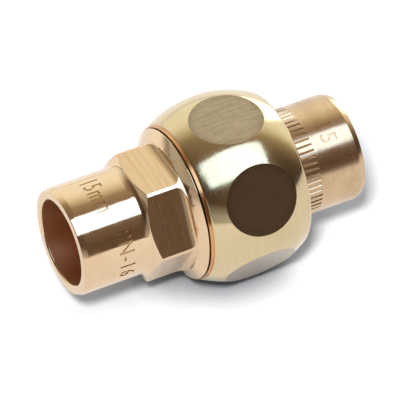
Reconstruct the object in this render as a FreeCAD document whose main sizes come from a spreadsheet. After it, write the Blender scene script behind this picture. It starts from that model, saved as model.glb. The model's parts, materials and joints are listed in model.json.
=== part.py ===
import FreeCAD, Part
import Sketcher
import math
import os

# A straight three-piece pipe union with solder sockets and a barrel nut, in millimetres.
# The pipe axis is X, from the union body to the tail. The origin is on it, at half the length.
# +Z is up, and one of the nut's six flats faces each way along it.

driving = {
    # tube ends
    "unionLength": 53.0,
    "tubeRadius": 9.4,
    "socketRadius": 7.55,
    "socketDepth": 11.0,
    "waterwayRadius": 6.5,
    "rimBreak": 0.2,
    "rimChamferLength": 1.0,
    "rimChamferDepth": 0.35,
    # union body: shoulder, hexagon and collar
    "coveRadius": 1.6,
    "hexStart": -14.05,
    "hexEnd": -6.65,
    "hexFlatHalf": 10.0,
    "hexCornerRadius": 11.37,
    "cutterRadius": 1.25,
    "collarRadius": 13.3,
    "collarBack": -5.42,
    # thread G 3/4
    "threadPitch": 1.814,
    "threadDepth": 1.162,
    "threadMajorRadius": 13.22,
    "threadAllowance": 0.12,
    "threadReliefWidth": 1.9,
    "threadChamfer": 1.2,
    "threadFace": 4.5,
    # gasket
    "gasketThickness": 1.96,
    "gasketRadius": 12.0,
    "gasketHoleRadius": 8.0,
    "seatGap": 0.02,
    # tail
    "tailCollarRadius": 11.8,
    "tailCollarThickness": 3.4,
    "knurlStart": 14.0,
    "knurlLength": 4.1,
    "knurlRadius": 9.44,
    "knurlDepth": 0.22,
    "knurlGrooveWidth": 0.34,
    "knurlCount": 56,
    # nut
    "nutFront": -5.2,
    "nutBack": 13.8,
    "nutCentre": 4.43,
    "nutRadius": 16.2,
    "nutBarrelRadius": 17.56,
    "nutFlatHalf": 15.0,
    "nutMouthRadius": 13.36,
    "nutBoreRadius": 9.46,
    "nutReliefRadius": 13.5,
    "nutReliefWidth": 2.3,
    "nutEdgeBreak": 0.35,
    "nutNeckLength": 0.6,
    "nutNeckRadius": 13.5,
    "nutNeckBreak": 0.15,
}

flatCount = 6
clear = 4.0  # how far a cut starts outside the metal
chamferAngle = 60.0  # of the turned shoulders, from the pipe axis
chamferRise = math.tan(math.radians(chamferAngle))
flankSlope = math.tan(math.radians(27.5))  # Whitworth thread flank


class Size:
    """A length as a number and as the expression of sheet cells that gives it."""

    def __init__(self, value, text):
        self.value = value
        self.text = text

    def combine(self, sign, other, swapped=False):
        left, right = self, other
        if not isinstance(other, Size):
            right = Size(float(other), repr(float(other)))
        if swapped:
            left, right = right, left
        results = {
            "+": lambda: left.value + right.value,
            "-": lambda: left.value - right.value,
            "*": lambda: left.value * right.value,
            "/": lambda: left.value / right.value,
        }
        return Size(results[sign](), f"({left.text} {sign} {right.text})")

    def __add__(self, other):
        return self.combine("+", other)

    def __sub__(self, other):
        return self.combine("-", other)

    def __mul__(self, other):
        return self.combine("*", other)

    def __truediv__(self, other):
        return self.combine("/", other)

    def __neg__(self):
        return self.combine("-", 0.0, swapped=True)

    def squareRoot(self):
        return Size(math.sqrt(self.value), f"sqrt{self.text}")


class Sizes:
    """The driving dimensions by name, such as sizes.tubeRadius."""

    def __getattr__(self, name):
        return Size(driving[name], f"Dimensions.{name}")


sizes = Sizes()


def makeSheet(doc):
    sheet = doc.addObject("Spreadsheet::Sheet", "Dimensions")
    for row, (name, value) in enumerate(driving.items(), start=1):
        sheet.set(f"A{row}", name)
        sheet.set(f"B{row}", str(value))
        sheet.setAlias(f"B{row}", name)
    doc.recompute()


def originFeature(body, role):
    return next(item for item in body.Origin.OriginFeatures if item.Role == role)


def pipeAxis(body):
    return (originFeature(body, "X_Axis"), [""])


def newBody(doc, label):
    body = doc.addObject("PartDesign::Body", label)
    body.Label = label
    return body


def newSketch(body, name, role):
    sketch = body.newObject("Sketcher::SketchObject", name)
    sketch.AttachmentSupport = [(originFeature(body, role), "")]
    sketch.MapMode = "FlatFace"
    return sketch


def drawOutline(sketch, corners, arcs=None):
    """A closed outline through corners, each a pair of sizes.

    arcs says which sides are round: {index of the corner the side starts at: (radius, bulge)},
    where bulge 1 puts the arc's centre on the right of the way along the side, and -1 on the left.
    """
    arcs = arcs or {}
    count = len(corners)
    points = [FreeCAD.Vector(x.value, y.value, 0) for x, y in corners]
    for index, start in enumerate(points):
        end = points[(index + 1) % count]
        if index in arcs:
            radius, bulge = arcs[index]
            sketch.addGeometry(roundSide(start, end, radius.value, bulge), False)
        else:
            sketch.addGeometry(Part.LineSegment(start, end), False)

    startPoint = {index: 1 for index in range(count)}
    endPoint = {index: 2 for index in range(count)}
    for index, (radius, bulge) in arcs.items():
        if bulge > 0:  # a sketch arc runs anticlockwise, so this one starts at the side's end
            startPoint[index], endPoint[index] = 2, 1
    for index in range(count):
        after = (index + 1) % count
        sketch.addConstraint(
            Sketcher.Constraint("Coincident", index, endPoint[index], after, startPoint[after])
        )
    for index, corner in enumerate(corners):
        for kind, size in zip(("DistanceX", "DistanceY"), corner):
            bindConstraint(
                sketch,
                Sketcher.Constraint(kind, -1, 1, index, startPoint[index], size.value),
                size,
            )
    for index, (radius, bulge) in arcs.items():
        bindConstraint(sketch, Sketcher.Constraint("Radius", index, radius.value), radius)


def roundSide(start, end, radius, bulge):
    along = end - start
    right = FreeCAD.Vector(along.y, -along.x, 0).normalize()
    offset = math.sqrt(radius**2 - (along.Length / 2) ** 2)
    centre = (start + end) / 2 + right * (offset * bulge)
    circle = Part.Circle(centre, FreeCAD.Vector(0, 0, 1), radius)
    first, last = (end, start) if bulge > 0 else (start, end)
    return Part.ArcOfCircle(circle, circle.parameter(first), circle.parameter(last))


def bindConstraint(sketch, constraint, size):
    number = sketch.addConstraint(constraint)
    sketch.setExpression(f"Constraints[{number}]", size.text)


def revolve(body, sketch, name):
    turned = body.newObject("PartDesign::Revolution", name)
    turned.Profile = sketch
    turned.ReferenceAxis = pipeAxis(body)
    turned.Angle = 360
    sketch.Document.recompute()
    return turned


def repeatAround(body, feature, name, count):
    pattern = body.newObject("PartDesign::PolarPattern", name)
    pattern.Originals = [feature]
    pattern.Axis = pipeAxis(body)
    pattern.Angle = 360
    if isinstance(count, Size):
        pattern.setExpression("Occurrences", count.text)
    else:
        pattern.Occurrences = count
    body.Tip = pattern
    body.Document.recompute()
    return pattern


def millFlats(body, name, corners, arcs=None):
    """Cuts the outline right across the piece, then again at each of the other flats."""
    before = body.Shape.Volume
    sketch = newSketch(body, name + "Outline", "XZ_Plane")
    drawOutline(sketch, corners, arcs)
    cut = body.newObject("PartDesign::Pocket", name)
    cut.Profile = sketch
    cut.SideType = "Symmetric"
    cut.setExpression("Length", (sizes.nutRadius * 2).text)
    body.Document.recompute()
    repeatAround(body, cut, name + "Pattern", flatCount)
    checkCut(body, before, name)


def cutThread(body, name, centre, topRadius, rootRadius, travel, towardsBody):
    """A helical groove. Its section is centred at centre on the +Z side and narrows to rootRadius."""
    before = body.Shape.Volume
    rootHalf = sizes.threadPitch / 4 - sizes.threadDepth * (flankSlope / 2)
    topHalf = sizes.threadPitch / 4 + sizes.threadDepth * (flankSlope / 2)
    lift = sizes.threadAllowance  # the section reaches this far into the open
    if rootRadius.value < topRadius.value:
        openRadius = topRadius + lift
    else:
        openRadius = topRadius - lift
    openHalf = topHalf + lift * flankSlope
    sketch = newSketch(body, name + "Section", "XZ_Plane")
    drawOutline(
        sketch,
        [
            (centre - openHalf, openRadius),
            (centre + openHalf, openRadius),
            (centre + rootHalf, rootRadius),
            (centre - rootHalf, rootRadius),
        ],
    )
    groove = body.newObject("PartDesign::SubtractiveHelix", name)
    groove.Profile = sketch
    groove.ReferenceAxis = pipeAxis(body)
    groove.Mode = "pitch-height-angle"
    groove.setExpression("Pitch", sizes.threadPitch.text)
    groove.setExpression("Height", travel.text)
    groove.Reversed = towardsBody
    body.Tip = groove
    body.Document.recompute()
    checkCut(body, before, name)


def checkCut(body, before, name):
    if body.Shape.Volume >= before - 1:
        raise RuntimeError(f"{name} removes nothing from {body.Label}")


def tubeEnd():
    """Half of the union's length, where each tube end stops."""
    return sizes.unionLength / 2


def tailFace():
    """The gasket's far side, where the tail's collar starts."""
    return sizes.threadFace + sizes.gasketThickness + sizes.seatGap * 2


def collarSeat():
    """The inside of the nut's rear wall, which pulls on the tail's collar."""
    return tailFace() + sizes.tailCollarThickness + sizes.seatGap


def makeUnionBody(doc):
    body = newBody(doc, "union_body")
    majorRadius = sizes.threadMajorRadius - sizes.threadAllowance
    minorRadius = majorRadius - sizes.threadDepth
    coveEndRadius = sizes.tubeRadius + sizes.coveRadius / 2
    coveEnd = sizes.hexStart + (coveEndRadius - sizes.hexFlatHalf) / chamferRise
    coveStart = coveEnd - sizes.coveRadius * math.sin(math.radians(chamferAngle))
    hexCorner = sizes.hexStart + (sizes.hexCornerRadius - sizes.hexFlatHalf) / chamferRise
    collarFront = sizes.hexEnd + (sizes.collarRadius - sizes.hexCornerRadius) / chamferRise
    reliefRadius = minorRadius - sizes.threadAllowance
    reliefEnd = sizes.collarBack + sizes.threadReliefWidth
    chamferRadius = majorRadius - sizes.threadChamfer
    socketStop = sizes.socketDepth - tubeEnd()

    outline = newSketch(body, "BodyOutline", "XZ_Plane")
    drawOutline(
        outline,
        [
            (-tubeEnd(), sizes.tubeRadius - sizes.rimChamferDepth),
            (sizes.rimChamferLength - tubeEnd(), sizes.tubeRadius),
            (coveStart, sizes.tubeRadius),
            (coveEnd, coveEndRadius),
            (hexCorner, sizes.hexCornerRadius),
            (sizes.hexEnd, sizes.hexCornerRadius),
            (collarFront, sizes.collarRadius),
            (sizes.collarBack, sizes.collarRadius),
            (sizes.collarBack, reliefRadius),
            (reliefEnd, reliefRadius),
            (reliefEnd + sizes.threadChamfer, majorRadius),
            (sizes.threadFace - sizes.threadChamfer, majorRadius),
            (sizes.threadFace, chamferRadius),
            (sizes.threadFace, sizes.waterwayRadius),
            (socketStop, sizes.waterwayRadius),
            (socketStop, sizes.socketRadius),
            (sizes.rimBreak - tubeEnd(), sizes.socketRadius),
            (-tubeEnd(), sizes.socketRadius + sizes.rimBreak),
        ],
        {2: (sizes.coveRadius, -1)},
    )
    revolve(body, outline, "BodyTurning")

    scoopStart = sizes.hexEnd - sizes.cutterRadius
    above = sizes.collarRadius + clear
    millFlats(
        body,
        "Hexagon",
        [
            (sizes.hexStart - clear, sizes.hexFlatHalf),
            (scoopStart, sizes.hexFlatHalf),
            (sizes.hexEnd, sizes.hexFlatHalf + sizes.cutterRadius),
            (sizes.hexEnd, above),
            (sizes.hexStart - clear, above),
        ],
        {1: (sizes.cutterRadius, -1)},
    )

    start = sizes.threadFace + sizes.threadPitch
    stop = sizes.collarBack + sizes.threadReliefWidth / 2
    cutThread(body, "BodyThread", start, majorRadius, minorRadius, start - stop, True)
    return body


def makeUnionNut(doc):
    body = newBody(doc, "union_nut")
    minorRadius = sizes.threadMajorRadius + sizes.threadAllowance - sizes.threadDepth
    majorRadius = sizes.threadMajorRadius + sizes.threadAllowance
    boreBreak = sizes.nutEdgeBreak
    reliefStart = collarSeat() - sizes.nutReliefWidth
    mouthEnd = sizes.nutFront + (sizes.nutMouthRadius - minorRadius)

    def barrel(place):
        fromCentre = place - sizes.nutCentre
        square = sizes.nutBarrelRadius * sizes.nutBarrelRadius - fromCentre * fromCentre
        return sizes.nutRadius - sizes.nutBarrelRadius + square.squareRoot()

    neckEnd = sizes.nutFront + sizes.nutNeckLength
    barrelFront = neckEnd + sizes.nutNeckBreak
    barrelBack = sizes.nutBack - sizes.nutEdgeBreak
    outline = newSketch(body, "NutOutline", "XZ_Plane")
    drawOutline(
        outline,
        [
            (sizes.nutFront, sizes.nutMouthRadius),
            (sizes.nutFront, sizes.nutNeckRadius),
            (neckEnd, sizes.nutNeckRadius),
            (neckEnd, barrel(barrelFront) - sizes.nutNeckBreak),
            (barrelFront, barrel(barrelFront)),
            (barrelBack, barrel(barrelBack)),
            (sizes.nutBack, barrel(barrelBack) - sizes.nutEdgeBreak),
            (sizes.nutBack, sizes.nutBoreRadius + boreBreak),
            (sizes.nutBack - boreBreak, sizes.nutBoreRadius),
            (collarSeat() + boreBreak, sizes.nutBoreRadius),
            (collarSeat(), sizes.nutBoreRadius + boreBreak),
            (collarSeat(), sizes.nutReliefRadius),
            (reliefStart, sizes.nutReliefRadius),
            (reliefStart, minorRadius),
            (mouthEnd, minorRadius),
        ],
        {4: (sizes.nutBarrelRadius, 1)},
    )
    revolve(body, outline, "NutTurning")

    above = sizes.nutRadius + clear
    millFlats(
        body,
        "WrenchFlats",
        [
            (sizes.nutFront - clear, sizes.nutFlatHalf),
            (sizes.nutBack + clear, sizes.nutFlatHalf),
            (sizes.nutBack + clear, above),
            (sizes.nutFront - clear, above),
        ],
    )

    # half a pitch out of step with the body's groove, so that ridge meets groove
    start = sizes.threadFace - sizes.threadPitch * 6.5
    stop = collarSeat() - sizes.nutReliefWidth / 2
    cutThread(body, "NutThread", start, minorRadius, majorRadius, stop - start, False)
    return body


def makeUnionTail(doc):
    body = newBody(doc, "union_tail")
    collarBack = tailFace() + sizes.tailCollarThickness
    collarBreak = sizes.nutEdgeBreak
    knurlEnd = sizes.knurlStart + sizes.knurlLength
    knurlRise = sizes.knurlRadius - sizes.tubeRadius
    socketStop = tubeEnd() - sizes.socketDepth

    outline = newSketch(body, "TailOutline", "XZ_Plane")
    drawOutline(
        outline,
        [
            (tailFace(), sizes.waterwayRadius),
            (tailFace(), sizes.tailCollarRadius - collarBreak),
            (tailFace() + collarBreak, sizes.tailCollarRadius),
            (collarBack, sizes.tailCollarRadius),
            (collarBack, sizes.tubeRadius),
            (sizes.knurlStart, sizes.tubeRadius),
            (sizes.knurlStart + knurlRise, sizes.knurlRadius),
            (knurlEnd - knurlRise, sizes.knurlRadius),
            (knurlEnd, sizes.tubeRadius),
            (tubeEnd() - sizes.rimChamferLength, sizes.tubeRadius),
            (tubeEnd(), sizes.tubeRadius - sizes.rimChamferDepth),
            (tubeEnd(), sizes.socketRadius + sizes.rimBreak),
            (tubeEnd() - sizes.rimBreak, sizes.socketRadius),
            (socketStop, sizes.socketRadius),
            (socketStop, sizes.waterwayRadius),
        ],
    )
    revolve(body, outline, "TailTurning")
    cutKnurl(body)
    return body


def cutKnurl(body):
    """Straight vee grooves along the raised band behind the nut."""
    before = body.Shape.Volume
    rootRadius = sizes.knurlRadius - sizes.knurlDepth
    openRadius = sizes.knurlRadius + sizes.knurlDepth  # so the vee is as wide again up there
    section = newSketch(body, "KnurlSection", "YZ_Plane")
    section.setExpression("AttachmentOffset.Base.z", sizes.knurlStart.text)
    drawOutline(
        section,
        [
            (-sizes.knurlGrooveWidth, openRadius),
            (sizes.knurlGrooveWidth * 0, rootRadius),
            (sizes.knurlGrooveWidth, openRadius),
        ],
    )
    groove = body.newObject("PartDesign::Pocket", "KnurlGroove")
    groove.Profile = section
    groove.Reversed = True
    groove.setExpression("Length", sizes.knurlLength.text)
    body.Document.recompute()
    repeatAround(body, groove, "Knurl", sizes.knurlCount)
    checkCut(body, before, "Knurl")


def makeGasket(doc):
    """A flat ring between the body's end face and the tail's collar."""
    discs = []
    for name, radius in (("GasketDisc", sizes.gasketRadius), ("GasketHole", sizes.gasketHoleRadius)):
        disc = doc.addObject("Part::Cylinder", name)
        disc.setExpression("Radius", radius.text)
        disc.setExpression("Height", sizes.gasketThickness.text)
        discs.append(disc)
    ring = doc.addObject("Part::Cut", "gasket")
    ring.Label = "gasket"
    ring.Base, ring.Tool = discs
    ring.Placement.Rotation = FreeCAD.Rotation(FreeCAD.Vector(0, 1, 0), 90)
    ring.setExpression("Placement.Base.x", (sizes.threadFace + sizes.seatGap).text)
    doc.recompute()
    return ring


def checkDocument(doc, pieces):
    for item in doc.Objects:
        if "Invalid" in item.State or "Error" in item.State:
            raise RuntimeError(f"{item.Label} failed: {item.State}")
    for piece in pieces:
        shape = piece.Shape
        if shape.isNull() or not shape.isValid() or len(shape.Solids) != 1:
            raise RuntimeError(f"{piece.Label} is not one valid solid")


def writePieces(pieces):
    os.makedirs("parts", exist_ok=True)
    for piece in pieces:
        piece.Shape.exportStep(f"parts/{piece.Label}.step")
        box = piece.Shape.BoundBox
        print(f"{piece.Label}: {piece.Shape.Volume:.1f} mm3, x {box.XMin:.2f} to {box.XMax:.2f}")


def main():
    doc = FreeCAD.newDocument("PipeUnion")
    makeSheet(doc)
    pieces = [makeUnionBody(doc), makeUnionNut(doc), makeUnionTail(doc), makeGasket(doc)]
    doc.recompute()
    checkDocument(doc, pieces)
    writePieces(pieces)


main()
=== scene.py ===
import json
import math

import bmesh
import bpy
from mathutils import Matrix, Vector


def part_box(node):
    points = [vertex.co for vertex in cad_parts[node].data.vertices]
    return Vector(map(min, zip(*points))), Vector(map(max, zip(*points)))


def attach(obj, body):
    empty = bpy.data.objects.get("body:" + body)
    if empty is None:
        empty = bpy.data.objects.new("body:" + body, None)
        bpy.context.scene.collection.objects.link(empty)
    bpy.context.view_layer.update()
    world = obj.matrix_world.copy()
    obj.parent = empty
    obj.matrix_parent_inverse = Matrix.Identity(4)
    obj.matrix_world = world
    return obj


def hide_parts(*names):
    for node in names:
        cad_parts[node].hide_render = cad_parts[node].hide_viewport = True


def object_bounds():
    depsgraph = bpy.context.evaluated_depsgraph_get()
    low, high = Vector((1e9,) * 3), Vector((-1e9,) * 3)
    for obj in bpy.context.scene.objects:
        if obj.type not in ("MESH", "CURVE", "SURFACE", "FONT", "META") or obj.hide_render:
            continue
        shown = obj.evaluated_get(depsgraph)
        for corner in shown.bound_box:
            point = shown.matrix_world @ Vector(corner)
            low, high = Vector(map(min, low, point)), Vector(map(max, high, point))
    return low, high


# A pipe union lying on a pale floor: gunmetal body and tail, brass barrel nut, fibre gasket.
# Metres, with the pipe axis along X and +Z up. An angle round the pipe counts from +Z towards -Y.

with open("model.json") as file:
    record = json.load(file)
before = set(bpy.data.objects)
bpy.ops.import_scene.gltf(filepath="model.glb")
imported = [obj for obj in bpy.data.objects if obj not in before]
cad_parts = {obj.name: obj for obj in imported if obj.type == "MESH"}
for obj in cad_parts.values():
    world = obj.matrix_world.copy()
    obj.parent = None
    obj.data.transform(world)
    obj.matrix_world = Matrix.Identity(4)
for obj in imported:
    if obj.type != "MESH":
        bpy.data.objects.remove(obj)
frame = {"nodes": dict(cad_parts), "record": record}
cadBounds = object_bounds()

mm = 0.001
fullTurn = 2 * math.pi
flatPitch = fullTurn / 6  # between the milled flats, the first of which faces +Z
shoulderAngle = math.radians(60)  # of the hexagon's shoulder and of the collar's cone
shoulderSlope = math.tan(shoulderAngle)

bodyLow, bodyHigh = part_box("union_body")
nutLow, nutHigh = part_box("union_nut")
tailLow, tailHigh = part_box("union_tail")
socketRadius = frame["record"]["mounts"][0]["dims"]["r_mm"] * mm
socketDepth = 11.0 * mm
waterwayRadius = 6.5 * mm
tubeRadius = 9.4 * mm

threadForm = {
    "pitch": 1.814 * mm,
    "depth": 1.162 * mm,
    "majorRadius": 13.22 * mm,
    "allowance": 0.12 * mm,  # the outside thread is this much smaller, the inside one larger
    "rowsPerPitch": 12,
    "topShare": 10 / 12,  # groove width over pitch at the top
    "rootShare": 2 / 12,
}


class Wire:
    def __init__(self, tree, socket):
        self.tree = tree
        self.socket = socket

    def node(self, kind, settings=None, inputs=None, output=0):
        made = self.tree.nodes.new(kind)
        for name, value in (settings or {}).items():
            if name == "stops":
                setStops(made.color_ramp, value)
            else:
                setattr(made, name, value)
        for name, value in (inputs or {}).items():
            if isinstance(value, Wire):
                self.tree.links.new(value.socket, made.inputs[name])
            else:
                made.inputs[name].default_value = value
        return Wire(self.tree, made.outputs[output])

    def maths(self, operation, *others):
        settings = {"operation": operation}
        return self.node("ShaderNodeMath", settings, dict(enumerate([self, *others])))

    def __add__(self, other):
        return self.maths("ADD", other)

    def __radd__(self, other):
        return self.maths("ADD", other)

    def __sub__(self, other):
        return self.maths("SUBTRACT", other)

    def __rsub__(self, other):
        return self.node("ShaderNodeMath", {"operation": "SUBTRACT"}, {0: other, 1: self})

    def __mul__(self, other):
        return self.maths("MULTIPLY", other)

    def __rmul__(self, other):
        return self.maths("MULTIPLY", other)

    def __truediv__(self, other):
        return self.maths("DIVIDE", other)

    def __rtruediv__(self, other):
        return self.node("ShaderNodeMath", {"operation": "DIVIDE"}, {0: other, 1: self})

    def smooth(self, low, high):
        # 0 below low, 1 above high
        inputs = {"Value": self, "From Min": low, "From Max": high}
        return self.node("ShaderNodeMapRange", {"interpolation_type": "SMOOTHSTEP"}, inputs)

    def between(self, first, second):
        # a colour, of which self is the second one's share
        inputs = {0: self, 6: first, 7: second}
        return self.node("ShaderNodeMix", {"data_type": "RGBA"}, inputs, 2)


def setStops(ramp, stops):
    while len(ramp.elements) < len(stops):
        ramp.elements.new(1.0)
    for element, (place, colour) in zip(ramp.elements, stops):
        element.position = place
        element.color = colour


gunmetalLook = {
    "colour": (0.76, 0.56, 0.365, 1),
    "dull": (0.66, 0.45, 0.26, 1),
    "roughness": 0.07,
}
tailLook = {
    "colour": (0.66, 0.465, 0.29, 1),
    "dull": (0.50, 0.33, 0.18, 1),
    "roughness": 0.17,
}
millLook = {
    "colour": (0.75, 0.54, 0.34, 1),
    "dull": (0.64, 0.43, 0.25, 1),
    "roughness": 0.10,
}
stampLook = {
    "colour": (0.62, 0.41, 0.22, 1),
    "dull": (0.38, 0.22, 0.10, 1),
    "roughness": 0.2,
}
brassLook = {
    "colour": (0.67, 0.535, 0.325, 1),
    "dull": (0.56, 0.425, 0.225, 1),
    "roughness": 0.10,
}
# darker, more orange brass on the nut's neck and front face
neckLook = {
    "colour": (0.68, 0.36, 0.15, 1),
    "dull": (0.48, 0.22, 0.08, 1),
    "roughness": 0.16,
}


def newMaterial(name, metallic=1.0):
    material = bpy.data.materials.new(name)
    material.use_nodes = True
    tree = material.node_tree
    shader = tree.nodes["Principled BSDF"]
    shader.inputs["Metallic"].default_value = metallic
    start = Wire(tree, tree.nodes.new("ShaderNodeTexCoord").outputs["Object"])
    return material, shader, start


def noiseAlong(start, frequency, detail=2.0, roughness=0.5):
    # noise with its own frequency, per metre, along X, Y and Z
    stretched = start.node("ShaderNodeVectorMath", {"operation": "MULTIPLY"}, {0: start, 1: frequency})
    inputs = {"Vector": stretched, "Scale": 1.0, "Detail": detail, "Roughness": roughness}
    return start.node("ShaderNodeTexNoise", {"noise_dimensions": "3D"}, inputs)


def plug(tree, shader, inputs):
    for name, value in inputs.items():
        if isinstance(value, Wire):
            tree.links.new(value.socket, shader.inputs[name])
        else:
            shader.inputs[name].default_value = value


def bumped(height, strength, distance):
    return height.node("ShaderNodeBump", None, {"Strength": strength, "Distance": distance, "Height": height})


turnedGrain = {
    "across": 70,  # how fast the rings vary round the pipe, per metre
    "coarseShare": 0.35,
    "coarseRate": 0.22,  # coarse rings to one ring
    "coarseAcross": 25,
    "blotches": 160,  # per metre
    "grains": 2600,
    "bump": 0.35,
}


def turnedMetal(name, look, ringPitch, ringDepth, mottle=0.3):
    # fine rings from the lathe tool, round the pipe axis, over a faint mottle
    g = turnedGrain
    material, shader, start = newMaterial(name)
    fine = noiseAlong(start, (1 / ringPitch, g["across"], g["across"]), 1.5)
    coarsePerMetre = g["coarseRate"] / ringPitch
    coarse = noiseAlong(start, (coarsePerMetre, g["coarseAcross"], g["coarseAcross"]), 2.0)
    blotch = noiseAlong(start, (g["blotches"],) * 3, 4.0, 0.6).smooth(0.38, 0.72)
    grain = noiseAlong(start, (g["grains"],) * 3, 2.0)
    rings = fine * (1 - g["coarseShare"]) + coarse * g["coarseShare"]
    tone = rings.smooth(0.3, 0.7) * 0.3 + blotch * mottle + grain.smooth(0.35, 0.75) * 0.12
    colour = tone.between(look["colour"], look["dull"])
    rough = look["roughness"] + blotch * 0.08 + grain.smooth(0.4, 0.8) * 0.06
    normal = bumped(rings + grain * 0.15, g["bump"], ringDepth)
    plug(material.node_tree, shader, {"Base Color": colour, "Roughness": rough, "Normal": normal})
    return material


def milledMetal(name, look, streakPitch):
    # cutter streaks across the pipe axis
    material, shader, start = newMaterial(name)
    streaks = noiseAlong(start, (1 / streakPitch, 110, 110), 3.0, 0.65)
    wide = noiseAlong(start, (0.3 / streakPitch, 60, 60), 2.0)
    shade = streaks * 0.6 + wide * 0.4
    colour = shade.smooth(0.35, 0.68).between(look["colour"], look["dull"])
    rough = look["roughness"] + 0.06 + streaks.smooth(0.4, 0.7) * 0.12
    normal = bumped(shade, 0.2, 0.005 * mm)
    plug(material.node_tree, shader, {"Base Color": colour, "Roughness": rough, "Normal": normal})
    return material


def boredMetal(name, look):
    material, shader, start = newMaterial(name)
    rings = noiseAlong(start, (3200, 50, 50), 2.0)
    blotch = noiseAlong(start, (420, 420, 420), 4.0, 0.65)
    patchy = rings.smooth(0.35, 0.7) * 0.4 + blotch.smooth(0.38, 0.7) * 0.6
    colour = patchy.between(look["colour"], look["dull"])
    rough = look["roughness"] + blotch.smooth(0.3, 0.8) * 0.12
    normal = bumped(rings * 0.8 + blotch * 0.2, 0.3, 0.008 * mm)
    plug(material.node_tree, shader, {"Base Color": colour, "Roughness": rough, "Normal": normal})
    return material


def brushedFlatMetal(name, look):
    # brushed along the pipe axis, with a painted dark line of shade along the flat's edge; the flat's own UV
    # map is in metres
    material, shader, start = newMaterial(name)
    flat = start.node("ShaderNodeUVMap", {"uv_map": "flatMap"})
    lines = noiseAlong(flat, (260, 9000, 1), 3.0, 0.6)
    wide = noiseAlong(flat, (120, 1500, 1), 2.0)
    cross = noiseAlong(flat, (5200, 420, 1), 2.0)
    shade = lines * 0.5 + wide * 0.3 + cross * 0.2
    # painted shade: a dark line along the flat's edge
    edge = start.node("ShaderNodeAttribute", {"attribute_name": "edgeShade"}, None, 2)
    plain = shade.smooth(0.36, 0.66).between(look["colour"], look["dull"])
    colour = edge.between(plain, look["edge"])
    rough = look["roughness"] + shade.smooth(0.35, 0.7) * 0.1
    normal = bumped(shade, 0.4, 0.01 * mm)
    plug(material.node_tree, shader, {"Base Color": colour, "Roughness": rough, "Normal": normal})
    return material


sealLook = {
    "colour": (0.035, 0.13, 0.09, 1),
    "pale": (0.09, 0.23, 0.16, 1),
    "fibres": (900, 2600, 2600),  # per metre along X, Y and Z
    "specks": (5200, 5200, 5200),
}


def fibreSeal(name, look):
    material, shader, start = newMaterial(name, 0.0)
    fibres = noiseAlong(start, look["fibres"], 4.0, 0.7)
    specks = noiseAlong(start, look["specks"], 1.0)
    shade = fibres * 0.7 + specks * 0.3
    colour = shade.smooth(0.35, 0.7).between(look["colour"], look["pale"])
    normal = bumped(shade, 0.5, 0.03 * mm)
    inputs = {"Base Color": colour, "Roughness": 0.6 + shade * 0.25, "Normal": normal}
    plug(material.node_tree, shader, inputs)
    return material


floorLook = {
    "pale": (0.118, 0.118, 0.118, 1),
    "palest": (0.122, 0.122, 0.122, 1),
    "left": (0.06, 0.057, 0.052, 1),  # painted shade, the floor darker far towards -X
    "paintedContactShadow": (0.03, 0.031, 0.033, 1),  # painted shadow close under the union
    # painted light: the floor glows by itself, brighter behind the union
    "paintedGlow": (0.28, 0.282, 0.284, 1),
    "paintedGlowBehind": (0.52, 0.525, 0.53, 1),
    "paintedGlowLeft": (0.14, 0.13, 0.12, 1),
    # painted shadow in the glow close under the union
    "paintedContactShadowGlow": (0.01, 0.012, 0.016, 1),
    "paintedShadowReach": 8 * mm,
    "leftFrom": 0.08,
    "leftTo": 0.3,
    "behindTo": 0.14,
}


def paintedLightFloor(name, look):
    material, shader, start = newMaterial(name, 0.0)
    grain = noiseAlong(start, (40, 40, 40), 2.0)
    x = start.node("ShaderNodeSeparateXYZ", None, {0: start})
    y = start.node("ShaderNodeSeparateXYZ", None, {0: start}, 1)
    reach = {"Distance": look["paintedShadowReach"]}
    # painted shadow: ambient occlusion near the union darkens colour and glow
    paintedShadowOpenness = start.node("ShaderNodeAmbientOcclusion", {"samples": 8}, reach, 1).smooth(0.1, 0.75)
    # painted shade: colour and glow darker towards -X
    paintedShadeTowardsLeft = (x * -1.0).smooth(look["leftFrom"], look["leftTo"])
    colour = grain.between(look["pale"], look["palest"])
    colour = paintedShadeTowardsLeft.between(colour, look["left"])
    colour = paintedShadowOpenness.between(look["paintedContactShadow"], colour)
    # painted light: the floor's glow, brighter towards +Y behind the union
    paintedGlow = y.smooth(0.0, look["behindTo"]).between(look["paintedGlow"], look["paintedGlowBehind"])
    paintedGlow = paintedShadeTowardsLeft.between(paintedGlow, look["paintedGlowLeft"])
    paintedGlow = paintedShadowOpenness.between(look["paintedContactShadowGlow"], paintedGlow)
    plug(material.node_tree, shader, {"Base Color": colour, "Roughness": 0.9, "Emission Color": paintedGlow})
    shader.inputs["Specular IOR Level"].default_value = 0.0
    shader.inputs["Emission Strength"].default_value = 1.0
    return material


flatLook = {
    "colour": (0.44, 0.35, 0.235, 1),
    "dull": (0.29, 0.22, 0.145, 1),
    # edge: painted shade, the dark line along each flat's edge
    "edge": (0.10, 0.05, 0.02, 1),
    "roughness": 0.16,
}
# the bore's own orange gunmetal, made lighter than the outside as painted light where the bore is in shade
boreLook = {
    "colour": (0.86, 0.53, 0.31, 1),
    "dull": (0.78, 0.44, 0.23, 1),
    "roughness": 0.34,
}

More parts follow.
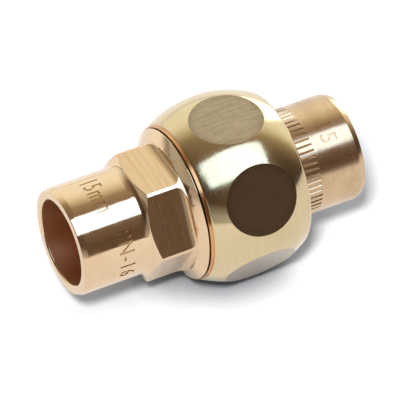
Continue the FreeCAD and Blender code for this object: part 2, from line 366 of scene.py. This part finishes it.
gunmetalTurned = turnedMetal("gunmetalTurned", gunmetalLook, 0.12 * mm, 0.008 * mm)
tailTurned = turnedMetal("tailTurned", tailLook, 0.2 * mm, 0.012 * mm, 0.6)
gunmetalMilled = milledMetal("gunmetalMilled", millLook, 0.16 * mm)
gunmetalBored = boredMetal("gunmetalBored", boreLook)
gunmetalStamped = turnedMetal("gunmetalStamped", stampLook, 0.3 * mm, 0.01 * mm, 0.6)
brassTurned = turnedMetal("brassTurned", brassLook, 0.14 * mm, 0.010 * mm)
brassNeckTint = turnedMetal("brassNeckTint", neckLook, 0.1 * mm, 0.010 * mm, 0.6)
brassBrushed = brushedFlatMetal("brassBrushed", flatLook)
sealFibre = fibreSeal("sealFibre", sealLook)
bodyFinishes = [gunmetalTurned, gunmetalMilled, gunmetalBored, gunmetalStamped]
tailFinishes = [tailTurned, gunmetalMilled, gunmetalBored, gunmetalStamped]
nutFinishes = [brassTurned, brassBrushed, brassNeckTint]
turned, milled, bored, stamped = range(4)
brushed, neckTint = 1, 2
print("finishes made")


def around(place, radius, angle):
    return Vector((place, -radius * math.sin(angle), radius * math.cos(angle)))


def roundOutline(corners, steps=4):
    # A corner is (place, radius, rounding, finish of the stretch after it). A rounding of None is
    # a plain point; any other gives steps + 1 points, so outlines at all angles match.
    points = []
    finishes = []
    for index, (place, radius, rounding, finish) in enumerate(corners):
        here = Vector((place, radius))
        if rounding is None:
            points.append(here)
            finishes.append(finish)
            continue
        before = Vector(corners[index - 1][:2]) - here
        after = Vector(corners[(index + 1) % len(corners)][:2]) - here
        reach = min(rounding, before.length * 0.45, after.length * 0.45)
        start = here + before.normalized() * reach
        end = here + after.normalized() * reach
        for step in range(steps + 1):
            share = step / steps
            points.append(start.lerp(here, share).lerp(here.lerp(end, share), share))
            finishes.append(finish)
    return points, finishes


def arcPoints(centre, radius, startAngle, endAngle, count):
    # from the lowest point of a circle in the (place, radius) plane, turning towards +X
    for step in range(count + 1):
        angle = startAngle + (endAngle - startAngle) * step / count
        yield centre[0] + radius * math.sin(angle), centre[1] - radius * math.cos(angle)


def meshOf(name, points, faces, slots, materials):
    mesh = bpy.data.meshes.new(name)
    mesh.from_pydata([tuple(p) for p in points], [], faces)
    for material in materials:
        mesh.materials.append(material)
    mesh.polygons.foreach_set("material_index", slots)
    mesh.update()
    return mesh


def shell(name, outlines, angles, slotOf, materials):
    # joins the open outlines at neighbouring angles, all the way round
    points = [around(p.x, p.y, a) for a, outline in zip(angles, outlines) for p in outline]
    size = len(outlines[0])
    faces = []
    slots = []
    for j, angle in enumerate(angles):
        k = (j + 1) % len(angles)
        for i in range(size - 1):
            faces.append((j * size + i, j * size + i + 1, k * size + i + 1, k * size + i))
            slots.append(slotOf(i, angle))
    return meshOf(name, points, faces, slots, materials)


def joined(name, meshes, merge=2e-6):
    work = bmesh.new()
    for mesh in meshes:
        work.from_mesh(mesh)
    bmesh.ops.remove_doubles(work, verts=work.verts, dist=merge)
    bmesh.ops.dissolve_degenerate(work, edges=work.edges, dist=merge / 2)
    bmesh.ops.recalc_face_normals(work, faces=work.faces)
    openEdges = sum(1 for edge in work.edges if not edge.is_manifold)
    result = bpy.data.meshes.new(name)
    work.to_mesh(result)
    work.free()
    for material in meshes[0].materials:
        result.materials.append(material)
    print(f"{name}: {len(result.polygons)} faces, {openEdges} open edges")
    return result


def addObject(name, mesh):
    made = bpy.data.objects.new(name, mesh)
    bpy.context.scene.collection.objects.link(made)
    return made


def finalMesh(thing):
    # the mesh as its modifiers leave it; the object itself goes
    bpy.context.view_layer.update()
    graph = bpy.context.evaluated_depsgraph_get()
    mesh = bpy.data.meshes.new_from_object(thing.evaluated_get(graph), depsgraph=graph)
    bpy.data.objects.remove(thing)
    return mesh


def smoothShading(mesh, sharpAngle=25):
    # the large faces decide the normals, so that only the rounded edges bend them
    mesh.polygons.foreach_set("use_smooth", [True] * len(mesh.polygons))
    mesh.set_sharp_from_angle(angle=math.radians(sharpAngle))
    mesh.update()
    holder = addObject("shading", mesh)
    weighted = holder.modifiers.new("weighted", "WEIGHTED_NORMAL")
    weighted.keep_sharp = True
    return finalMesh(holder)


# the inputs of a grooved band, used for both threads and the knurl
bandInputs = {
    "Rows": "NodeSocketInt",
    "Columns": "NodeSocketInt",
    "First Place": "NodeSocketFloat",
    "Reach": "NodeSocketFloat",
    "Lead": "NodeSocketFloat",
    "Start": "NodeSocketFloat",
    "End": "NodeSocketFloat",
    "Start Radius": "NodeSocketFloat",
    "End Radius": "NodeSocketFloat",
    "Crest Radius": "NodeSocketFloat",
    "Groove Depth": "NodeSocketFloat",
    "Facing": "NodeSocketFloat",
    "Turn": "NodeSocketFloat",
    "Groove Place": "NodeSocketFloat",
    "Grooves Per Metre": "NodeSocketFloat",
    "Grooves Round": "NodeSocketFloat",
    "Half Top": "NodeSocketFloat",
    "Half Root": "NodeSocketFloat",
    "Finish": "NodeSocketMaterial",
}


def groovedBandTree():
    # A sheet wrapped round the pipe axis. Lead shifts its rows once round to follow a thread.
    # Facing is 1 for an outside and -1 for an inside band. The first and last rows are pinned to
    # the neighbouring surface, and the grooves run out to it at 45 degrees.
    tree = bpy.data.node_groups.new("groovedBand", "GeometryNodeTree")
    for name, kind in bandInputs.items():
        tree.interface.new_socket(name, in_out="INPUT", socket_type=kind)
    tree.interface.new_socket("Band", in_out="OUTPUT", socket_type="NodeSocketGeometry")
    entry = tree.nodes.new("NodeGroupInput")
    given = {name: Wire(tree, entry.outputs[name]) for name in bandInputs}
    maker = given["Rows"]

    sheet = maker.node(
        "GeometryNodeMeshGrid",
        None,
        {"Size X": 1.0, "Size Y": 1.0, "Vertices X": given["Rows"], "Vertices Y": given["Columns"]},
    )
    position = maker.node("GeometryNodeInputPosition")
    u = maker.node("ShaderNodeSeparateXYZ", None, {0: position}) + 0.5
    v = maker.node("ShaderNodeSeparateXYZ", None, {0: position}, 1) + 0.5 + given["Turn"]

    free = given["First Place"] + u * given["Reach"] + (v - given["Turn"]) * given["Lead"]
    place = free.maths("MAXIMUM", given["Start"]).maths("MINIMUM", given["End"])
    count = (free - given["Groove Place"]) * given["Grooves Per Metre"] + v * given["Grooves Round"]
    fromGroove = count.maths("PINGPONG", 0.5)
    depthShare = (given["Half Top"] - fromGroove) / (given["Half Top"] - given["Half Root"])
    depthShare = depthShare.maths("MAXIMUM", 0.0).maths("MINIMUM", 1.0)

    facing = given["Facing"]
    height = given["Crest Radius"] * facing - given["Groove Depth"] * depthShare
    height = height.maths("MINIMUM", given["Start Radius"] * facing + place - given["Start"])
    height = height.maths("MINIMUM", given["End Radius"] * facing + given["End"] - place)
    rowShare = 0.5 / (given["Rows"] - 1)
    atStart = rowShare.maths("GREATER_THAN", u)
    atEnd = u.maths("GREATER_THAN", 1 - rowShare)
    radius = height * facing
    radius = radius + (given["Start Radius"] - radius) * atStart
    radius = radius + (given["End Radius"] - radius) * atEnd

    angle = v * fullTurn
    across = radius * angle.maths("SINE") * -1.0
    upwards = radius * angle.maths("COSINE")
    wrapped = maker.node("ShaderNodeCombineXYZ", None, {0: place, 1: across, 2: upwards})
    bent = maker.node("GeometryNodeSetPosition", None, {"Geometry": sheet, "Position": wrapped})
    merged = maker.node("GeometryNodeMergeByDistance", None, {"Geometry": bent, "Distance": 1e-6})
    smooth = maker.node("GeometryNodeSetShadeSmooth", None, {0: merged})
    real = maker.node("GeometryNodeRealizeInstances", None, {"Geometry": smooth})
    done = maker.node("GeometryNodeSetMaterial", None, {"Geometry": real, "Material": given["Finish"]})
    exit = tree.nodes.new("NodeGroupOutput")
    tree.links.new(done.socket, exit.inputs["Band"])
    return tree


groovedBand = groovedBandTree()


def bandMesh(name, values, materials):
    maker = addObject(name, bpy.data.meshes.new(name))
    modifier = maker.modifiers.new("band", "NODES")
    modifier.node_group = groovedBand
    sockets = {s.name: s for s in groovedBand.interface.items_tree if s.in_out == "INPUT"}
    for key, value in values.items():
        modifier[sockets[key].identifier] = value
    mesh = finalMesh(maker)
    mesh.materials.clear()
    for material in materials:
        mesh.materials.append(material)
    return mesh


def threadBand(name, facing, start, end, startRadius, endRadius, groovePlace, columns, turn, materials):
    pitch = threadForm["pitch"]
    if facing > 0:
        crest = threadForm["majorRadius"] - threadForm["allowance"]
    else:
        crest = threadForm["majorRadius"] + threadForm["allowance"] - threadForm["depth"]
    turnsBefore = math.floor((start - groovePlace) / pitch) - 1
    turnsLong = math.ceil((end - start) / pitch) + 3
    values = {
        "Rows": turnsLong * threadForm["rowsPerPitch"] + 1,
        "Columns": columns + 1,
        "First Place": groovePlace + turnsBefore * pitch + turn * pitch,
        "Reach": turnsLong * pitch,
        "Lead": pitch,
        "Start": start,
        "End": end,
        "Start Radius": startRadius,
        "End Radius": endRadius,
        "Crest Radius": crest,
        "Groove Depth": threadForm["depth"],
        "Facing": float(facing),
        "Turn": turn,
        "Groove Place": groovePlace,
        "Grooves Per Metre": 1 / pitch,
        "Grooves Round": -1.0,
        "Half Top": threadForm["topShare"] / 2,
        "Half Root": threadForm["rootShare"] / 2,
        "Finish": materials[turned],
    }
    return bandMesh(name, values, materials)


stampSizes = {"depth": 0.14 * mm, "stroke": 0.008}


def numeralCutter(name, radius, words, start, angle, height, spread):
    # the words read round the pipe from angle on, with their tops towards +X
    curve = bpy.data.curves.new(name, "FONT")
    curve.body = words
    curve.size = height / 0.7
    curve.extrude = 0.5
    curve.offset = stampSizes["stroke"] * height
    curve.space_character = 1.2
    curve.resolution_u = 4
    mesh = finalMesh(addObject(name, curve))
    work = bmesh.new()
    work.from_mesh(mesh)
    bmesh.ops.remove_doubles(work, verts=work.verts, dist=1e-7)
    bmesh.ops.triangulate(work, faces=work.faces)
    for vertex in work.verts:
        across, up, out = vertex.co
        reach = radius + stampSizes["depth"] * (1 if out > 0 else -1)
        vertex.co = around(start + up, reach, angle + across * spread / radius)
    for face in work.faces:
        face.material_index = stamped
    work.to_mesh(mesh)
    work.free()
    for material in bodyFinishes:
        mesh.materials.append(material)
    return addObject(name, mesh)


def stamp(mesh, marks, radius):
    target = addObject("stamped", mesh)
    cutters = []
    for index, mark in enumerate(marks):
        cutter = numeralCutter(f"cutter{index}", radius, **mark)
        cut = target.modifiers.new(f"cut{index}", "BOOLEAN")
        cut.operation = "DIFFERENCE"
        cut.solver = "EXACT"
        cut.object = cutter
        cutters.append(cutter)
    result = finalMesh(target)
    for cutter in cutters:
        bpy.data.objects.remove(cutter)
    return result


bodySizes = {
    "rimBreak": 0.2 * mm,
    "rimChamferLength": 1.0 * mm,
    "rimChamferDepth": 0.35 * mm,
    "coveRadius": 1.6 * mm,
    "hexStart": -14.05 * mm,
    "hexEnd": -6.65 * mm,
    "hexFlatHalf": 10.0 * mm,
    "hexEdgeAngle": math.radians(28.5),  # a flat reaches this far each side of its middle
    "cutterRadius": 1.25 * mm,
    "collarBack": -5.42 * mm,
    "reliefWidth": 1.9 * mm,
    "threadChamfer": 1.2 * mm,
    "edge": 0.07 * mm,  # rounding of the turned and milled edges
    "columns": 360,
}
bodyMarks = [
    {"words": "15mm", "start": -21.7 * mm, "angle": math.radians(-19), "height": 3.3 * mm, "spread": 0.58},
    {"words": "PN-16", "start": -20.0 * mm, "angle": math.radians(51), "height": 2.8 * mm, "spread": 0.8},
]


def bodyOutline(angle):
    # angle is from the middle of the nearest flat
    s = bodySizes
    edge = s["edge"]
    half = s["hexFlatHalf"]
    corner = half / math.cos(s["hexEdgeAngle"])
    flat = min(half / math.cos(angle), corner)
    tubeEnd = bodyLow.x
    socketStop = tubeEnd + socketDepth
    threadMinor = threadForm["majorRadius"] - threadForm["allowance"] - threadForm["depth"]
    threadMajor = threadMinor + threadForm["depth"]

    coveCentreRadius = tubeRadius + s["coveRadius"]
    coveTop = tubeRadius + s["coveRadius"] / 2
    coveEnd = s["hexStart"] + (coveTop - half) / shoulderSlope
    coveStart = coveEnd - s["coveRadius"] * math.sin(shoulderAngle)
    if flat < coveTop:
        coveTurn = math.acos((coveCentreRadius - flat) / s["coveRadius"])
        flatStart = coveStart + s["coveRadius"] * math.sin(coveTurn)
    else:
        coveTurn = shoulderAngle
        flatStart = s["hexStart"] + (flat - half) / shoulderSlope

    scoopStart = s["hexEnd"] - s["cutterRadius"]
    scoopLift = 1 - (corner * math.cos(angle) - half) / s["cutterRadius"]
    scoopTurn = math.acos(max(0.0, min(1.0, scoopLift)))
    collarFront = s["hexEnd"] + (bodyHigh.z - corner) / shoulderSlope
    reliefEnd = s["collarBack"] + s["reliefWidth"]

    corners = [
        (bodyHigh.x, threadMajor - s["threadChamfer"], None, turned),
        (bodyHigh.x, waterwayRadius, edge, bored),
        (socketStop, waterwayRadius, edge, bored),
        (socketStop, socketRadius, edge, bored),
        (tubeEnd + s["rimBreak"], socketRadius, edge, turned),
        (tubeEnd, socketRadius + s["rimBreak"], edge, turned),
        (tubeEnd, tubeRadius - s["rimChamferDepth"], edge * 2, turned),
        (tubeEnd + s["rimChamferLength"], tubeRadius, edge * 2, turned),
    ]
    for share in (0.3, 0.6):  # plain points that shorten the tube's long faces
        corners.append((tubeEnd + (coveStart - tubeEnd) * share, tubeRadius, None, turned))
    coveCentre = (coveStart, coveCentreRadius)
    for place, radius in list(arcPoints(coveCentre, s["coveRadius"], 0, coveTurn, 10))[:-1]:
        corners.append((place, radius, None, turned))
    corners.append((*list(arcPoints(coveCentre, s["coveRadius"], 0, coveTurn, 1))[-1], None, turned))
    corners.append((flatStart, flat, edge, milled))
    scoopCentre = (scoopStart, half + s["cutterRadius"])
    for place, height in arcPoints(scoopCentre, s["cutterRadius"], 0, scoopTurn, 8):
        corners.append((place, min(height / math.cos(angle), corner), None, milled))
    corners += [
        (s["hexEnd"], corner, None, turned),
        (collarFront, bodyHigh.z, edge, turned),
        (s["collarBack"], bodyHigh.z, edge, turned),
        (s["collarBack"], threadMinor - threadForm["allowance"], edge, turned),
        (reliefEnd, threadMinor - threadForm["allowance"], None, turned),
    ]
    return roundOutline(corners)


def fromFlat(angle):
    return (angle + flatPitch / 2) % flatPitch - flatPitch / 2


def makeBody():
    s = bodySizes
    count = s["columns"]
    turn = 0.5 / count
    angles = [fullTurn * (j / count + turn) for j in range(count)]
    outlines = [bodyOutline(fromFlat(a)) for a in angles]
    finishes = outlines[0][1]
    halfColumn = fullTurn / count / 2

    def slotOf(index, angle):
        onCorner = abs(fromFlat(angle + halfColumn)) > s["hexEdgeAngle"]
        return turned if finishes[index] == milled and onCorner else finishes[index]

    mesh = shell("bodyShell", [o[0] for o in outlines], angles, slotOf, bodyFinishes)
    threadMinor = threadForm["majorRadius"] - threadForm["allowance"] - threadForm["depth"]
    thread = threadBand(
        "outsideThread",
        1,
        s["collarBack"] + s["reliefWidth"],
        bodyHigh.x,
        threadMinor - threadForm["allowance"],
        threadMinor + threadForm["depth"] - s["threadChamfer"],
        bodyHigh.x,
        count,
        turn,
        bodyFinishes,
    )
    mesh = joined("unionBody", [mesh, thread])
    mesh = stamp(mesh, bodyMarks, tubeRadius)
    mesh = smoothShading(mesh)
    piece = addObject("unionBody", mesh)
    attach(piece, "body")
    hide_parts("union_body")
    return piece


makeBody()
print("union body made")


tailSizes = {
    "rimBreak": 0.2 * mm,
    "rimChamferLength": 1.0 * mm,
    "rimChamferDepth": 0.35 * mm,
    "collarThickness": 3.4 * mm,
    "collarBreak": 0.35 * mm,
    "knurlStart": 14.0 * mm,
    "knurlEnd": 18.1 * mm,
    "knurlRadius": 9.44 * mm,
    "knurlDepth": 0.22 * mm,
    "knurlCount": 56,
    "knurlHalfTop": 0.16,  # half a groove's width over the knurl's pitch
    "columnsPerGroove": 5,
    "rows": 8,
    "edge": 0.07 * mm,
}
tailMarks = [
    {"words": "15", "start": 19.9 * mm, "angle": math.radians(11), "height": 3.0 * mm, "spread": 0.95},
]


def makeTail():
    s = tailSizes
    edge = s["edge"]
    collarBack = tailLow.x + s["collarThickness"]
    tubeEnd = tailHigh.x
    socketStop = tubeEnd - socketDepth
    corners = [
        (s["knurlEnd"], tubeRadius, None, turned),
        (s["knurlEnd"] + 1.5 * mm, tubeRadius, None, turned),
        (s["knurlEnd"] + 5.2 * mm, tubeRadius, None, turned),
        (tubeEnd - s["rimChamferLength"], tubeRadius, edge * 2, turned),
        (tubeEnd, tubeRadius - s["rimChamferDepth"], edge * 2, turned),
        (tubeEnd, socketRadius + s["rimBreak"], edge, turned),
        (tubeEnd - s["rimBreak"], socketRadius, edge, bored),
        (socketStop, socketRadius, edge, bored),
        (socketStop, waterwayRadius, edge, bored),
        (tailLow.x, waterwayRadius, edge, turned),
        (tailLow.x, tailHigh.z - s["collarBreak"], edge, turned),
        (tailLow.x + s["collarBreak"], tailHigh.z, edge, turned),
        (collarBack, tailHigh.z, edge, turned),
        (collarBack, tubeRadius, edge, turned),
        (s["knurlStart"], tubeRadius, None, turned),
    ]
    count = s["knurlCount"] * s["columnsPerGroove"]
    angles = [fullTurn * j / count for j in range(count)]
    outline, finishes = roundOutline(corners)
    mesh = shell("tailShell", [outline] * count, angles, lambda i, a: finishes[i], tailFinishes)
    length = s["knurlEnd"] - s["knurlStart"]
    spare = length / (s["rows"] - 3)
    values = {
        "Rows": s["rows"],
        "Columns": count + 1,
        "First Place": s["knurlStart"] - spare,
        "Reach": length + 2 * spare,
        "Lead": 0.0,
        "Start": s["knurlStart"],
        "End": s["knurlEnd"],
        "Start Radius": tubeRadius,
        "End Radius": tubeRadius,
        "Crest Radius": s["knurlRadius"],
        "Groove Depth": s["knurlDepth"],
        "Facing": 1.0,
        "Turn": 0.0,
        "Groove Place": 0.0,
        "Grooves Per Metre": 0.0,
        "Grooves Round": float(s["knurlCount"]),
        "Half Top": s["knurlHalfTop"],
        "Half Root": 0.0,
        "Finish": tailTurned,
    }
    knurl = bandMesh("knurl", values, tailFinishes)
    mesh = joined("unionTail", [mesh, knurl])
    mesh = stamp(mesh, tailMarks, tubeRadius)
    mesh = smoothShading(mesh)
    piece = addObject("unionTail", mesh)
    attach(piece, "tail")
    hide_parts("union_tail")
    return piece


makeTail()
print("tail made")


nutSizes = {
    "barrelRadius": 17.56 * mm,  # of the arc along the nut
    "crownPlace": frame["record"]["mounts"][2]["pos_m"][0],
    "edgeBreak": 0.35 * mm,
    "neckLength": 0.6 * mm,
    "neckRadius": 13.5 * mm,
    "neckBreak": 0.15 * mm,
    "mouthRadius": 13.36 * mm,
    "boreRadius": 9.46 * mm,
    "reliefRadius": 13.5 * mm,
    "reliefWidth": 2.3 * mm,
    "rearWall": 9.92 * mm,  # the face that draws the tail in
    "edge": 0.07 * mm,
    "flatEdge": 0.09 * mm,
    "patchMargin": 0.3 * mm,
    "raysPerSide": 32,
    "insideRings": 5,
    "outsideRings": 9,
}


def barrelAt(place):
    lean = place - nutSizes["crownPlace"]
    return nutHigh.y - nutSizes["barrelRadius"] + math.sqrt(nutSizes["barrelRadius"] ** 2 - lean**2)


def overFlat(place, angle):
    # how far the barrel stands over the flat there, along the radius
    return barrelAt(place) - nutHigh.z / math.cos(angle)


def onNut(place, angle, flatAngle):
    radius = min(barrelAt(place), nutHigh.z / math.cos(angle))
    return around(place, radius, angle + flatAngle)


def patchBorder(front, back):
    # round the sextant's rectangle of places and angles
    count = nutSizes["raysPerSide"]
    half = flatPitch / 2
    border = []
    for step in range(count):
        share = step / count
        border.append((front + (back - front) * share, -half))
    for step in range(count):
        border.append((back, -half + flatPitch * step / count))
    for step in range(count):
        border.append((back + (front - back) * step / count, half))
    for step in range(count):
        border.append((front, half - flatPitch * step / count))
    return border


def flatPatch(name, front, back, flatAngle):
    # one flat and the barrel round it: rings along rays that leave the flat's middle
    s = nutSizes
    crown = s["crownPlace"]
    border = patchBorder(front, back)
    points = [onNut(crown, 0.0, flatAngle)]
    rays = []
    for place, angle in border:
        inner, outer = 0.0, 1.0
        for _ in range(40):
            share = (inner + outer) / 2
            if overFlat(crown + (place - crown) * share, angle * share) > 0:
                inner = share
            else:
                outer = share
        length = math.hypot(place - crown, angle * nutHigh.z)
        rays.append((place, angle, share, s["flatEdge"] / length))

    def ringPoint(place, angle, share):
        return onNut(crown + (place - crown) * share, angle * share, flatAngle)

    rings = [k / s["insideRings"] for k in range(1, s["insideRings"])]
    for ring in rings:
        points += [ringPoint(p, a, (share - edge) * ring) for p, a, share, edge in rays]
    bends = 4
    for bend in range(bends + 1):
        t = bend / bends
        for place, angle, share, edge in rays:
            low = ringPoint(place, angle, share - edge)
            mid = ringPoint(place, angle, share)
            high = ringPoint(place, angle, share + edge)
            points.append(low.lerp(mid, t).lerp(mid.lerp(high, t), t))
    for ring in range(1, s["outsideRings"] + 1):
        t = (ring / s["outsideRings"]) ** 1.2
        points += [ringPoint(p, a, share + edge + (1 - share - edge) * t) for p, a, share, edge in rays]

    count = len(border)
    flatRings = s["insideRings"] - 1 + bends // 2
    faces = [(0, 1 + k, 1 + (k + 1) % count) for k in range(count)]
    slots = [brushed] * count
    for ring in range((len(points) - 1) // count - 1):
        base = 1 + ring * count
        for k in range(count):
            n = (k + 1) % count
            faces.append((base + k, base + count + k, base + count + n, base + n))
            slots.append(brushed if ring < flatRings else turned)
    return meshOf(name, points, faces, slots, nutFinishes)


def mapFlats(mesh):
    # UV in metres on each flat, and a painted dark line of shade where it meets the barrel
    layer = mesh.uv_layers.new(name="flatMap")
    for polygon in mesh.polygons:
        centre = polygon.center
        turnBack = -round(math.atan2(-centre.y, centre.z) / flatPitch) * flatPitch
        for loop in polygon.loop_indices:
            point = mesh.vertices[mesh.loops[loop].vertex_index].co
            side = -point.y * math.cos(turnBack) + point.z * math.sin(turnBack)
            layer.data[loop].uv = (point.x, side)
    shade = mesh.attributes.new("edgeShade", "FLOAT", "POINT")
    values = []
    for vertex in mesh.vertices:
        radius = math.hypot(vertex.co.y, vertex.co.z)
        if radius < nutSizes["mouthRadius"] + nutSizes["edgeBreak"] * 2:
            values.append(0.0)
            continue
        step = abs(overFlat(vertex.co.x, fromFlat(math.atan2(-vertex.co.y, vertex.co.z))))
        values.append(max(0.0, 1 - step / (0.5 * nutSizes["flatEdge"])))
    shade.data.foreach_set("value", values)


def makeNut():
    s = nutSizes
    edge = s["edge"]
    neckEnd = nutLow.x + s["neckLength"]
    front = neckEnd + s["neckBreak"]
    back = nutHigh.x - s["edgeBreak"]
    patchFront = front + s["patchMargin"]
    patchBack = back - s["patchMargin"]
    bore = s["boreRadius"]
    corners = [
        (patchBack, barrelAt(patchBack), None, turned),
        (back, barrelAt(back), edge * 2, turned),
        (nutHigh.x, barrelAt(back) - s["edgeBreak"], edge, turned),
        (nutHigh.x, bore + s["edgeBreak"], edge, turned),
        (nutHigh.x - s["edgeBreak"], bore, edge, turned),
        (s["rearWall"] + s["edgeBreak"], bore, edge, turned),
        (s["rearWall"], bore + s["edgeBreak"], edge, turned),
        (s["rearWall"], s["reliefRadius"], edge, turned),
        (s["rearWall"] - s["reliefWidth"], s["reliefRadius"], None, turned),
    ]
    frontCorners = [
        (nutLow.x, s["mouthRadius"], None, neckTint),
        (nutLow.x, s["neckRadius"], edge, neckTint),
        (neckEnd, s["neckRadius"], edge / 2, neckTint),
        (neckEnd, barrelAt(front) - s["neckBreak"], edge / 2, turned),
        (front, barrelAt(front), edge * 2, turned),
        (patchFront, barrelAt(patchFront), None, turned),
    ]
    count = s["raysPerSide"] * 6
    angles = [fullTurn * j / count for j in range(count)]
    meshes = []
    for name, part in (("nutBack", corners), ("nutFront", frontCorners)):
        outline, finishes = roundOutline(part)
        meshes.append(shell(name, [outline] * count, angles, lambda i, a, f=finishes: f[i], nutFinishes))
    for index in range(6):
        meshes.append(flatPatch(f"nutFlat{index}", patchFront, patchBack, index * flatPitch))
    grooveCentre = bodyHigh.x - 6.5 * threadForm["pitch"]  # ridge meets groove at rest
    meshes.append(
        threadBand(
            "insideThread",
            -1,
            nutLow.x,
            s["rearWall"] - s["reliefWidth"],
            s["mouthRadius"],
            s["reliefRadius"],
            grooveCentre,
            count,
            0.0,
            nutFinishes,
        )
    )
    mesh = joined("barrelNut", meshes)
    mapFlats(mesh)
    mesh = smoothShading(mesh)
    piece = addObject("barrelNut", mesh)
    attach(piece, "nut")
    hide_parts("union_nut")
    return piece


makeNut()
print("barrel nut made")

gasket = frame["nodes"]["gasket"]
gasket.data.materials.clear()
gasket.data.materials.append(sealFibre)


lightSizes = {
    "keyDistance": 0.5,
    "keyAngle": math.radians(112.5),  # from +Y over +Z
    "keyShift": 0.03,
    "keyWidth": 0.72,
    "keyHeight": 0.33,
    "keyPower": 1.7,
    "keyColour": (0.70, 1.0, 1.42),
    "floorDirection": Vector((-0.354, -0.498, 0.791)),
    "floorDistance": 2.0,
    "floorSize": 0.28,
    "floorPower": 285.0,
    "backDirection": Vector((0.72, 0.64, 0.26)),
    "backDistance": 0.6,
    "backSize": 0.3,
    "backPower": 0.7,
}
# light of the room by angle in degrees, from +Y over +Z to -Y and on under the floor
roomStops = [
    (0, (1.2, 1.25, 1.15)),
    (36, (1.2, 1.25, 1.15)),
    (47, (1.12, 1.12, 1.0)),
    (61, (0.83, 0.77, 0.60)),
    (75, (0.42, 0.34, 0.23)),
    (90, (0.34, 0.26, 0.18)),
    (130, (0.24, 0.17, 0.12)),
    (145, (0.20, 0.145, 0.105)),
    (160, (0.15, 0.10, 0.07)),
    (180, (0.16, 0.11, 0.08)),
    (200, (0.7, 0.7, 0.7)),
    (320, (1.0, 1.0, 1.0)),
    (359, (1.2, 1.25, 1.15)),
]
roomLean = 30 / 360  # the bright side reaches higher towards +X
roomFade = 0.65  # how much the near side darkens towards +X
leftFade = 0.5  # and the whole room towards -X


def makeRoom():
    world = bpy.data.worlds.new("softRoom")
    world.use_nodes = True
    tree = world.node_tree
    backdrop = tree.nodes["Background"]
    start = Wire(tree, tree.nodes.new("ShaderNodeTexCoord").outputs["Generated"])
    x = start.node("ShaderNodeSeparateXYZ", None, {0: start})
    y = start.node("ShaderNodeSeparateXYZ", None, {0: start}, 1)
    z = start.node("ShaderNodeSeparateXYZ", None, {0: start}, 2)
    turn = z.maths("ARCTAN2", y) / fullTurn
    above = z.maths("GREATER_THAN", 0.0)
    turn = (turn - (x - 0.34) * roomLean * above + 1.0).maths("FRACT")
    stops = [(angle / 360, (*light, 1)) for angle, light in roomStops]
    shade = turn.node("ShaderNodeValToRGB", {"stops": stops}, {0: turn})
    dim = x.smooth(0.4, 0.95) * (y * -1.0).smooth(0.0, 0.35) * roomFade
    dim = dim.maths("MAXIMUM", (x * -1.0).smooth(0.2, 0.8) * leftFade)
    tree.links.new(dim.between(shade, (0.0, 0.0, 0.0, 1)).socket, backdrop.inputs["Color"])
    backdrop.inputs["Strength"].default_value = 1.0
    bpy.context.scene.world = world


def areaLight(name, place, aim, width, height, power):
    data = bpy.data.lights.new(name, "AREA")
    data.shape = "RECTANGLE"
    data.size = width
    data.size_y = height
    data.energy = power
    light = addObject(name, data)
    light.location = place
    light.rotation_mode = "QUATERNION"
    light.rotation_quaternion = (place - aim).to_track_quat("Z", "Y")
    return light


def makeLights():
    s = lightSizes
    direction = Vector((0.0, math.cos(s["keyAngle"]), math.sin(s["keyAngle"])))
    aim = Vector((s["keyShift"], 0.0, 0.0))
    place = aim + direction * s["keyDistance"]
    keyLight = areaLight("keyLight", place, aim, s["keyWidth"], s["keyHeight"], s["keyPower"])
    keyLight.data.color = s["keyColour"]
    middle = Vector((0.0, 0.0, 0.0))
    place = s["backDirection"].normalized() * s["backDistance"]
    areaLight("backLight", place, middle, s["backSize"], s["backSize"], s["backPower"])
    place = s["floorDirection"].normalized() * s["floorDistance"]
    floorLight = areaLight("floorLight", place, middle, s["floorSize"], s["floorSize"], s["floorPower"])
    floorLight.visible_glossy = False


def makeFloor():
    work = bmesh.new()
    bmesh.ops.create_grid(work, x_segments=1, y_segments=1, size=3.0)
    bmesh.ops.translate(work, verts=work.verts, vec=(0, 0, cadBounds[0].z))
    mesh = bpy.data.meshes.new("floor")
    work.to_mesh(mesh)
    work.free()
    mesh.materials.append(paintedLightFloor("paintedLightFloor", floorLook))
    floor = addObject("floor", mesh)


cameraSizes = {
    "azimuth": math.radians(-27.995),
    "elevation": math.radians(43.397),
    "roll": math.radians(0.725),
    "distance": 837.5 * mm,
    "aimRight": -0.2785 * mm,
    "aimUp": -1.0776 * mm,
    "lens": 447.5,
    "sensor": 36.0,
}


def makeCamera():
    s = cameraSizes
    back = Vector(
        (
            math.sin(s["azimuth"]) * math.cos(s["elevation"]),
            -math.cos(s["azimuth"]) * math.cos(s["elevation"]),
            math.sin(s["elevation"]),
        )
    )
    level = Vector((math.cos(s["azimuth"]), math.sin(s["azimuth"]), 0.0))
    upright = back.cross(level)
    right = level * math.cos(s["roll"]) + upright * math.sin(s["roll"])
    up = upright * math.cos(s["roll"]) - level * math.sin(s["roll"])
    data = bpy.data.cameras.new("camera")
    data.lens = s["lens"]
    data.sensor_width = s["sensor"]
    data.clip_start = 0.01
    data.clip_end = 20.0
    camera = addObject("camera", data)
    camera.matrix_world = Matrix((right, up, back)).transposed().to_4x4()
    camera.location = back * s["distance"] + right * s["aimRight"] + up * s["aimUp"]
    bpy.context.scene.camera = camera


makeRoom()
makeLights()
makeFloor()
makeCamera()
bpy.context.scene.view_settings.view_transform = "Standard"
print("stage set")
